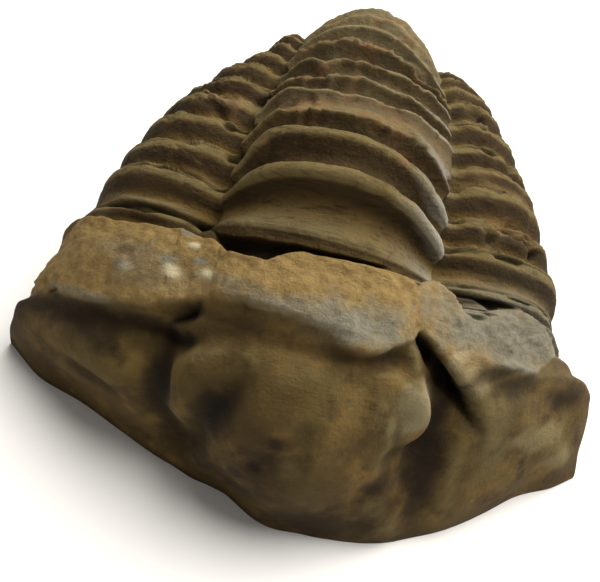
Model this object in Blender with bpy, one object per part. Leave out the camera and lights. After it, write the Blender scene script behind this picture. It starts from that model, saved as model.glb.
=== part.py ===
"""A trilobite fossil, weathered loose from its rock and lying on its belly.

The animal and the stone that fills it are one solid: a head that bends steeply down at the front,
a back of thirteen arched rings, and a tail shield that curls down to the ground behind.
+Z is up, the head looks along -Y, and the origin is the middle of the flat underside.
"""
import math

import bmesh
import bpy

MM = 0.001  # every dimension below is in millimetres

NODE_NAME = "trilobite_fossil"
COLLECTION_NAME = "trilobite fossil"

# Where the furrow of the first ring lies, seen from the middle of the underside.
FIRST_RING_X = -1.2
FIRST_RING_Y = -14.2
FIRST_RING_Z = 18.0

# Sections of the back, from the front rim of the head to the tip of the tail.
#   ring        place along the back: 1 is the crest of the first ring, 13 that of the last one
#   back, up    the furrow beside the raised axis, from the furrow of the first ring
#   half_width  from the middle to the flank
#   axis_half   from the middle to the furrow
#   axis_rise   height of the axis above the furrow
#   sweep       how far the flank lags behind the middle
#   drop        how far the flank falls from the furrow to its edge
SECTIONS = [
    # ring   back     up  half_width  axis_half  axis_rise  sweep   drop
    (-6.0, -14.6, -17.2,       27.3,       8.0,       0.5,  12.6,   0.5),
    (-5.0, -13.9, -12.0,       27.5,       9.0,       1.5,  12.5,   5.0),
    (-3.5, -10.9,  -6.1,       27.2,      10.0,       3.0,  11.0,   8.6),
    (-2.0,  -7.1,  -2.9,       26.0,      10.2,       3.6,   7.8,  11.0),
    (-0.5,  -3.8,  -0.9,       23.5,       9.8,       3.3,   6.2,  11.0),
    (1.0,   -0.5,  -0.3,       21.6,       9.4,       4.6,   4.6,   9.4),
    (2.0,    2.6,   1.3,       20.9,       9.4,       7.2,   4.3,   8.8),
    (4.0,   10.3,   1.9,       19.6,       9.1,       5.5,   3.9,  10.0),
    (6.0,   17.3,   1.4,       17.5,       8.5,       4.4,   4.2,  10.5),
    (9.0,   26.8,   0.1,       13.9,       7.4,       4.4,   2.7,  10.8),
    (11.0,  32.6,  -2.2,       12.8,       6.8,       4.7,   1.2,  11.0),
    (13.0,  37.6,  -6.3,       11.4,       6.0,       4.2,  -0.6,   9.5),
    (17.0,  44.0, -15.5,        7.4,       3.2,       1.2,  -4.0,   2.0),
]

# Grid of the skin. "across" runs from -1 to 1 over the back and on to the floor on both sides.
AXIS_ACROSS = 0.4375        # where the furrow lies
WALL_ACROSS = 0.25          # width of the side wall beyond the edge of the back
COLUMNS = 40
RING_ROWS = (0.18, 0.50, 0.80, 1.00)  # behind a crest, in the groove, up the next slope, its crest
HEAD_ROWS = 22
NECK = 0.2                  # where the head ends
HEAD_RIM = -6.0
LAST_RING = 13.0
TAIL_TIP = 17.0
TAIL_RINGS_PER_UNIT = 1.5   # the tail's rings are closer together
WALL_TUCK = 2.0             # the wall leans in by this much on its way to the floor
ARCH_POWER_LEFT = 1.3       # above 1 makes the axis a little pointed
ARCH_POWER_RIGHT = 1.75
ARCH_POWER_REAR = 1.8       # on both sides at the last ring
FLANK_POWER = 2.4           # 2 is a round flank, more is squarer

HEAD_SHIFT = 1.2            # the head's rim sits this far to the right of the first ring
TAIL_SHIFT = 0.5            # and so does the rear of the back
BROW_SKEW = 0.09            # slope by which the brow is turned, its left end forward
RIM_SKEW = 0.03             # and the front rim
WALL_HEIGHT = 8.0           # a wall this high has its full lean

# How far the edge of the back lies outside its smooth curve (mm), for a place along the back.
LEFT_EDGE = [
    (-6.0, -0.3), (-4.0, -0.6), (-3.2, -1.2), (-2.1, -0.5), (-0.4, 0.1), (0.1, 0.9), (1.0, -0.2),
    (3.0, -0.5), (7.0, -0.7), (9.0, -1.7), (13.0, -0.8), (17.0, 0.0),
]
RIGHT_EDGE = [
    (-6.0, -0.3), (-5.0, -0.6), (-2.5, -0.5), (-1.0, -0.7), (0.1, 0.6), (1.6, 0.9), (3.0, 0.5),
    (7.0, 0.3), (9.0, 0.9), (13.0, 0.6), (17.0, 0.0),
]
# How far the foot of the front rim is broken back (mm), for a place across the head (mm).
RIM_BREAK = [
    (-23.6, 0.0), (-20.6, 1.0), (-18.7, 1.8), (-14.0, 0.85), (-11.3, 0.4), (-8.0, 0.9), (-4.5, 1.9),
    (0.0, 0.65), (2.6, 1.0), (7.5, -0.3), (10.4, -1.3), (13.7, -1.6), (16.5, -1.3), (21.0, 0.1),
    (24.7, -1.0), (27.1, -1.2), (28.3, -0.3),
]
# Relief that is cut into, or stands on, the smooth form.
RING_DEPTH = 1.4            # groove between two rings of the axis
RIB_DEPTH = 1.1             # groove between two ribs of a flank
RELIEF_FADE = 5.0           # the relief has its full height from here up
NECK_SLOT_DEPTH = 1.6       # gap under the front edge of the first ring
BROW_LEDGE = 1.2            # the rock on the neck ends in a step of this height

# How the front rim leaves its smooth curve: across (mm), half width (mm), forward (mm).
RIM_BUMPS = [
    (4.0, 6.0, 1.2),      # snout
    (-12.0, 5.0, -1.2),   # flat stretch to the left of it
]
# Swellings of the head: across (mm), ring, radius across (mm), radius along (rings), height (mm).
LOBES = [
    (-7.3, -3.5, 2.4, 0.9, 1.7),   # left basal lobe
    (6.6, -3.6, 2.8, 0.9, 1.8),    # right basal lobe
    (6.6, -4.9, 2.0, 0.5, 1.2),    # right second lobe
    (0.5, -3.8, 4.5, 1.6, 1.4),    # middle of the glabella
    (22.0, -3.2, 3.5, 0.9, 1.2),   # right cheek
]
# Furrows of the head: from and to (across in mm, ring), half width (mm), depth (mm).
FURROWS = [
    ((-10.6, -2.6), (-10.4, -4.6), 1.2, 1.8),   # beside the left basal lobe
    ((-9.5, -2.5), (-1.5, -2.4), 1.1, 1.2),     # behind the glabella
    ((-5.6, -3.0), (-6.2, -4.2), 0.9, 1.4),     # between left lobe and middle
    ((8.8, -1.9), (11.0, -2.7), 1.0, 2.0),      # the deep furrow on the right
    ((11.0, -2.7), (10.6, -5.2), 1.5, 2.0),
]
RING_MM = 3.2               # one ring of length along the head, to compare with "across"

STONE_COLOUR = (0.105, 0.075, 0.034)
STONE_ROUGHNESS = 0.7


def smoothstep(low, high, value):
    s = min(max((value - low) / (high - low), 0.0), 1.0)
    return s * s * (3.0 - 2.0 * s)


def section(ring):
    """The section at a place along the back, and the slope of its furrow line."""
    i = 0
    while i < len(SECTIONS) - 2 and ring > SECTIONS[i + 1][0]:
        i += 1
    low, high = SECTIONS[i], SECTIONS[i + 1]
    span = high[0] - low[0]
    s = min(max((ring - low[0]) / span, 0.0), 1.0)
    values = []
    slopes = []
    for field in range(1, len(low)):
        start, end = low[field], high[field]
        slope_low = tangent(i, field) * span
        slope_high = tangent(i + 1, field) * span
        values.append((2 * s**3 - 3 * s**2 + 1) * start + (s**3 - 2 * s**2 + s) * slope_low
                      + (3 * s**2 - 2 * s**3) * end + (s**3 - s**2) * slope_high)
        slopes.append((6 * s**2 - 6 * s) * (start - end)
                      + (3 * s**2 - 4 * s + 1) * slope_low + (3 * s**2 - 2 * s) * slope_high)
    pitch = math.atan2(slopes[1], slopes[0])
    if 1.0 < ring < 2.0:
        # The axis doesn't lean out over the low first ring.
        first, second = section(1.0)[1], section(2.0)[1]
        pitch = first + (second - first) * (ring - 1.0)
    return values, pitch


def along(points, place):
    """A value read off a list of (place, value), straight from each point to the next."""
    if place <= points[0][0]:
        return points[0][1]
    for low, high in zip(points, points[1:]):
        if place <= high[0]:
            return low[1] + (high[1] - low[1]) * (place - low[0]) / (high[0] - low[0])
    return points[-1][1]


def tangent(i, field):
    """Slope of a section value at section i, flat where the value turns."""
    def step(j):
        return ((SECTIONS[j + 1][field] - SECTIONS[j][field])
                / (SECTIONS[j + 1][0] - SECTIONS[j][0]))
    if i == 0:
        return step(0)
    if i == len(SECTIONS) - 1:
        return step(i - 1)
    before, after = step(i - 1), step(i)
    if before * after <= 0.0:
        return 0.0
    return 2.0 * before * after / (before + after)


def smooth_form(ring, across):
    """A point of the smooth body in mm, from the first ring's furrow."""
    inside = min(max(ring, HEAD_RIM), TAIL_TIP)
    values, pitch = section(inside)
    back, up, half_width, axis_half, axis_rise, sweep, drop = values
    side = math.copysign(1.0, across)
    t = min(abs(across), 1.0)
    if t <= AXIS_ACROSS:
        angle = t / AXIS_ACROSS * math.pi / 2
        x = axis_half * math.sin(angle)
        power = ARCH_POWER_LEFT if across < 0 else ARCH_POWER_RIGHT
        power += (ARCH_POWER_REAR - power) * smoothstep(2.0, LAST_RING, inside)
        rise = axis_rise * max(math.cos(angle), 0.0) ** power
        y = back - math.sin(pitch) * rise
        z = up + math.cos(pitch) * rise
    else:
        angle = (t - AXIS_ACROSS) / (1.0 - AXIS_ACROSS) * math.pi / 2
        x = axis_half + (half_width - axis_half) * math.sin(angle) ** (2 / FLANK_POWER)
        y = back
        z = up - drop * (1.0 - max(math.cos(angle), 0.0) ** (2 / FLANK_POWER))
    edge = LEFT_EDGE if across < 0 else RIGHT_EDGE
    x = side * (x + along(edge, inside) * smoothstep(AXIS_ACROSS, 0.8, t))
    y += sweep * (x / half_width) ** 2
    at_rim = smoothstep(-3.5, -6.0, inside)
    y += x * (BROW_SKEW + (RIM_SKEW - BROW_SKEW) * at_rim) * smoothstep(1.0, -2.0, inside)
    for bump_x, bump_width, forward in RIM_BUMPS:
        y -= forward * math.exp(-((x - bump_x) / bump_width) ** 2) * at_rim
    y += along(RIM_BREAK, x) * smoothstep(-4.4, HEAD_RIM, inside)
    # Beyond the edges the wall goes down to the floor, leaning in.
    wall_side = max(abs(across) - 1.0, 0.0) / WALL_ACROSS
    wall_end = max(HEAD_RIM - ring, ring - TAIL_TIP, 0.0)
    wall = min(max(wall_side, wall_end), 1.0)
    tuck = WALL_TUCK * smoothstep(0.0, WALL_HEIGHT, z + FIRST_RING_Z)
    x += HEAD_SHIFT * smoothstep(0.5, -5.0, inside) + TAIL_SHIFT * smoothstep(4.0, 9.0, inside)
    x -= side * tuck * wall_side
    y -= math.copysign(tuck * wall_end, ring)
    z -= (z + FIRST_RING_Z) * wall
    return x, y, z


def groove(phase):
    """Depth of the groove between two crests, 0 on a crest and 1 in the groove."""
    f = phase % 1.0
    if f < 0.5:
        return smoothstep(0.0, 0.45, f)
    return smoothstep(1.0, 0.62, f)


def near_line(x, ring, start, end):
    """Distance in mm from a line drawn on the head."""
    ax, ay = start[0], start[1] * RING_MM
    bx, by = end[0] - ax, end[1] * RING_MM - ay
    px, py = x - ax, ring * RING_MM - ay
    s = min(max((px * bx + py * by) / (bx * bx + by * by), 0.0), 1.0)
    return math.hypot(px - s * bx, py - s * by)


def relief(x, ring, across, above_floor):
    """Height in mm above the smooth form, dying out on the way down to the floor."""
    side = abs(across)
    fade = smoothstep(0.0, RELIEF_FADE, above_floor)
    if ring >= NECK:
        phase = ring
        if ring > LAST_RING:
            phase = LAST_RING + (ring - LAST_RING) * TAIL_RINGS_PER_UNIT
        tail = 1.0 - 0.75 * smoothstep(LAST_RING, TAIL_TIP, ring)
        on_axis = smoothstep(AXIS_ACROSS + 0.03, AXIS_ACROSS - 0.05, side)
        depth = RING_DEPTH * on_axis + RIB_DEPTH * (1.0 - on_axis)
        height = -depth * groove(phase) * tail * fade
        slot = smoothstep(0.9, 0.5, ring) * smoothstep(9.5, 6.0, abs(x + 2.0))
        return height - NECK_SLOT_DEPTH * slot
    height = BROW_LEDGE * smoothstep(-2.4, -1.9, ring) * smoothstep(0.3, -0.3, ring)
    for lobe_x, lobe_ring, radius_x, radius_ring, lobe_height in LOBES:
        reach = ((x - lobe_x) / radius_x) ** 2 + ((ring - lobe_ring) / radius_ring) ** 2
        height += lobe_height * math.exp(-reach)
    for start, end, half_width, furrow_depth in FURROWS:
        height -= furrow_depth * math.exp(-(near_line(x, ring, start, end) / half_width) ** 2)
    return height * fade


def row_places():
    """Places of the grid's rows along the back, the first and last ones on the floor."""
    rows = [HEAD_RIM - 1.0]
    rows += [HEAD_RIM + (NECK - HEAD_RIM) * i / HEAD_ROWS for i in range(HEAD_ROWS)]
    rows += [NECK, 0.6, 0.8, 1.0]
    rows += [ring + part for ring in range(1, int(LAST_RING)) for part in RING_ROWS]
    tail_rings = int((TAIL_TIP - LAST_RING) * TAIL_RINGS_PER_UNIT)
    rows += [LAST_RING + (ring + part) / TAIL_RINGS_PER_UNIT
             for ring in range(tail_rings) for part in RING_ROWS]
    rows += [TAIL_TIP + 1.0]
    return rows


def build_skin(bm):
    """The back, the head and the side walls as one grid, open only at the floor."""
    rows = row_places()
    last_row = len(rows) - 1
    bmesh.ops.create_grid(bm, x_segments=COLUMNS, y_segments=last_row, size=0.5)
    places = {}
    for vert in bm.verts:
        ring = rows[round((vert.co.y + 0.5) * last_row)]
        across = vert.co.x * 2.0 * (1.0 + WALL_ACROSS)
        vert.co = smooth_form(ring, across)
        places[vert] = (ring, across)
    bm.normal_update()
    for vert, (ring, across) in places.items():
        height = relief(vert.co.x, ring, across, vert.co.z + FIRST_RING_Z)
        vert.co += vert.normal * height


def close_underside(bm):
    """A flat face under the whole body."""
    rim = [edge for edge in bm.edges if edge.is_boundary]
    for vert in {vert for edge in rim for vert in edge.verts}:
        vert.co.z = -FIRST_RING_Z
    bmesh.ops.contextual_create(bm, geom=rim)


def stone_material():
    material = bpy.data.materials.new("fossil stone")
    material.use_nodes = True
    shader = material.node_tree.nodes["Principled BSDF"]
    shader.inputs["Base Color"].default_value = (*STONE_COLOUR, 1.0)
    shader.inputs["Roughness"].default_value = STONE_ROUGHNESS
    shader.inputs["Metallic"].default_value = 0.0
    return material


def build_fossil(collection):
    bm = bmesh.new()
    build_skin(bm)
    close_underside(bm)
    bmesh.ops.translate(bm, verts=bm.verts, vec=(FIRST_RING_X, FIRST_RING_Y, FIRST_RING_Z))
    bmesh.ops.scale(bm, verts=bm.verts, vec=(MM, MM, MM))
    bmesh.ops.recalc_face_normals(bm, faces=bm.faces)
    mesh = bpy.data.meshes.new(NODE_NAME)
    bm.to_mesh(mesh)
    bm.free()
    mesh.shade_smooth()
    mesh.set_sharp_from_angle(angle=math.radians(60.0))
    mesh.materials.append(stone_material())
    fossil = bpy.data.objects.new(NODE_NAME, mesh)
    collection.objects.link(fossil)
    return fossil


def main():
    for old in list(bpy.data.objects):
        bpy.data.objects.remove(old, do_unlink=True)
    collection = bpy.data.collections.new(COLLECTION_NAME)
    bpy.context.scene.collection.children.link(collection)
    build_fossil(collection)


main()
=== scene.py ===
# A trilobite fossil of brown limestone, weathered loose from its rock, on a pale studio floor.
import math
import bmesh
import bpy
from mathutils import Matrix, Vector, noise


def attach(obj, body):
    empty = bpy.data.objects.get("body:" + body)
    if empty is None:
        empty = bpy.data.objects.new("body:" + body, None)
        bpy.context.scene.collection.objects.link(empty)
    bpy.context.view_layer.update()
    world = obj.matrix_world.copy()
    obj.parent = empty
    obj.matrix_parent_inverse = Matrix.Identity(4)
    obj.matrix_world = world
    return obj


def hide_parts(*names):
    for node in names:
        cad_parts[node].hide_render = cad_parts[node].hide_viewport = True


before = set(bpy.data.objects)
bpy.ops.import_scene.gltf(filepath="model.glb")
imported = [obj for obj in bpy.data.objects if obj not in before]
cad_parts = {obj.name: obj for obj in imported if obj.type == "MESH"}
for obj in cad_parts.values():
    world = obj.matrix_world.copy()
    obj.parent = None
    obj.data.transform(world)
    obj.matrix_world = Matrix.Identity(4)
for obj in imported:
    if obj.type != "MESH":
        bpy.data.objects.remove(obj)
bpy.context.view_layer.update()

mm = 0.001

# Lengths are in mm. "ring" is a place along the back: 1 is the crest of the first ring, 13 of the
# last one, 17 the tip of the tail, and the head lies below 0 down to its front rim at -6.
# "across" runs from -1 to 1 over the back, and on to the floor at both sides.
body = {
    "firstRing": (-1.2, -14.2, 18.0),   # its furrow, from the middle of the underside
    # ring, back, up, half width, half width of the axis, rise of the axis, sweep, drop of the flank
    "sections": [
        (-6.0, -14.6, -17.2, 27.3, 8.0, 0.5, 12.6, 0.5),
        (-5.0, -13.9, -12.0, 27.5, 9.0, 1.5, 12.5, 5.0),
        (-3.5, -10.9, -6.1, 27.2, 10.0, 3.0, 11.0, 8.6),
        (-2.0, -7.1, -2.9, 26.0, 10.2, 3.6, 7.8, 11.0),
        (-0.5, -3.8, -0.9, 23.5, 9.8, 3.3, 6.2, 11.0),
        (1.0, -0.5, -0.3, 21.6, 9.4, 4.6, 4.6, 9.4),
        (2.0, 2.6, 1.3, 20.9, 9.4, 7.2, 4.3, 8.8),
        (4.0, 10.3, 1.9, 19.6, 9.1, 5.5, 3.9, 10.0),
        (6.0, 17.3, 1.4, 17.5, 8.5, 4.4, 4.2, 10.5),
        (9.0, 26.8, 0.1, 13.9, 7.4, 4.4, 2.7, 10.8),
        (11.0, 32.6, -2.2, 12.8, 6.8, 4.7, 1.2, 11.0),
        (13.0, 37.6, -6.3, 11.4, 6.0, 4.2, -0.6, 9.5),
        (17.0, 44.0, -15.5, 7.4, 3.2, 1.2, -4.0, 2.0),
    ],
    "axisAcross": 0.4375,        # the furrow beside the axis
    "wallAcross": 0.25,          # how far "across" goes on down the wall
    "archPower": (1.3, 1.7),     # roundness of the axis on the left and on the right
    "rearPower": 1.8,            # the same at the last ring
    "flankPower": 2.4,           # and that of the flanks
    "rightWider": 0.5,           # how much wider the right half of the axis is on the front rings
    "headRim": -6.0, "neckFront": -0.6, "lastRing": 13.0, "tailTip": 17.0,
    "headShift": 1.2, "tailShift": 0.5,      # both ends lie a little to the right
    "browSkew": 0.09, "rimSkew": 0.03,       # and the head is turned a little
    "wallTuck": 2.0, "wallHeight": 8.0,      # how far the wall leans in, over which height
    "reliefFade": 3.0,           # height above the floor over which the relief begins
    "softFurrow": (0.04, 0.08),  # rounding of the furrows beside the axis, on the head and on the neck
    "lumps": (0.22, 5.0),    # height and size of the low lumps all over the stone
    "topColumns": 216, "wallColumns": 6,
    # rows of points on the head, on the neck, and between two crests: last crest, rows
    "headRows": 78, "neckRows": 40, "crestRows": [(9, 24), (13, 14), (19, 8)],
    # where those rows lie between two crests: share of the rows, share of the way
    "rowPlaces": [(0.0, 0.0), (0.16, 0.12), (0.44, 0.68), (0.97, 0.99), (1.0, 1.0)],
    # how far the edge lies from its smooth curve: ring, outward on the left, outward on the right
    "edgeShift": [
        (-6.0, -0.3, -0.3), (-5.0, -0.4, -0.6), (-4.0, -0.6, -0.4), (-3.2, -1.2, -0.3), (-2.5, -0.9, -0.5),
        (-2.1, -0.5, -0.9), (-1.0, -0.2, -0.7), (-0.5, 0.1, -0.1), (0.1, 0.6, 0.4), (1.0, -0.2, 0.6),
        (1.6, -0.3, 0.9), (2.0, -0.3, 0.7), (3.0, -0.5, 0.5), (5.0, -0.4, 0.4), (7.0, -0.7, 0.3),
        (9.0, -1.7, 0.9), (13.0, -0.8, 0.6), (17.0, 0.0, 0.0)],
    # how far the foot of the front rim lies behind its smooth curve: across, backward
    "rimShift": [
        (-26.0, 0.0), (-23.6, 0.0), (-22.3, 0.4), (-20.6, 1.0), (-18.7, 1.8), (-16.5, 1.4), (-14.0, 0.85),
        (-11.3, 0.4), (-8.0, 0.9), (-6.4, 1.6), (-4.5, 1.9), (-1.6, 0.8), (0.0, 0.65), (2.6, 1.0),
        (5.3, 0.5), (7.5, -0.3), (8.8, -0.9), (10.4, -1.3), (13.7, -1.6), (16.5, -1.3), (18.9, -0.4),
        (21.0, 0.1), (23.0, -0.4), (24.7, -1.0), (27.1, -1.2), (28.3, -0.3)],
    # how the front rim leaves its smooth curve: across, half width, forward
    "rimBumps": [(4.0, 6.0, 1.2), (-12.0, 5.0, -1.2)],
}

# Depth of the groove between two crests, from one crest (0) to the next one behind it (1).
axisGroove = [(0.0, 0.0), (0.05, 0.08), (0.10, 0.30), (0.16, 0.56), (0.24, 0.80), (0.34, 0.96),
              (0.44, 1.0), (0.54, 0.97), (0.62, 0.88), (0.70, 0.70), (0.77, 0.45), (0.82, 0.22),
              (0.86, 0.08), (0.90, 0.02), (1.0, 0.0)]
# The same in front of the second ring, whose face stands steep over the low first ring.
stepGroove = [(0.0, 0.0), (0.10, 0.25), (0.20, 0.62), (0.30, 0.92), (0.40, 1.15), (0.50, 1.25), (0.58, 1.12),
              (0.65, 0.80), (0.71, 0.40), (0.77, 0.08), (0.82, -0.10), (0.88, -0.14), (0.94, -0.08),
              (1.0, 0.0)]
# The same behind the third ring, where the crests are thin broken edges over hollow faces.
thinGroove = [(0.0, 0.0), (0.06, 0.05), (0.15, 0.28), (0.25, 0.55), (0.35, 0.78), (0.45, 0.93), (0.55, 1.0),
              (0.66, 0.98), (0.75, 0.86), (0.82, 0.64), (0.87, 0.38), (0.905, 0.12), (0.93, 0.0), (1.0, 0.0)]
ribGroove = [(0.0, 0.0), (0.15, 0.04), (0.19, 0.30), (0.24, 0.80), (0.29, 1.0), (0.35, 0.97), (0.44, 0.74),
             (0.54, 0.45), (0.65, 0.22), (0.78, 0.06), (0.90, 0.0), (1.0, 0.0)]
tailCrests = (13.7, 14.4, 15.1, 15.8, 16.4, 17.0)

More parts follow.
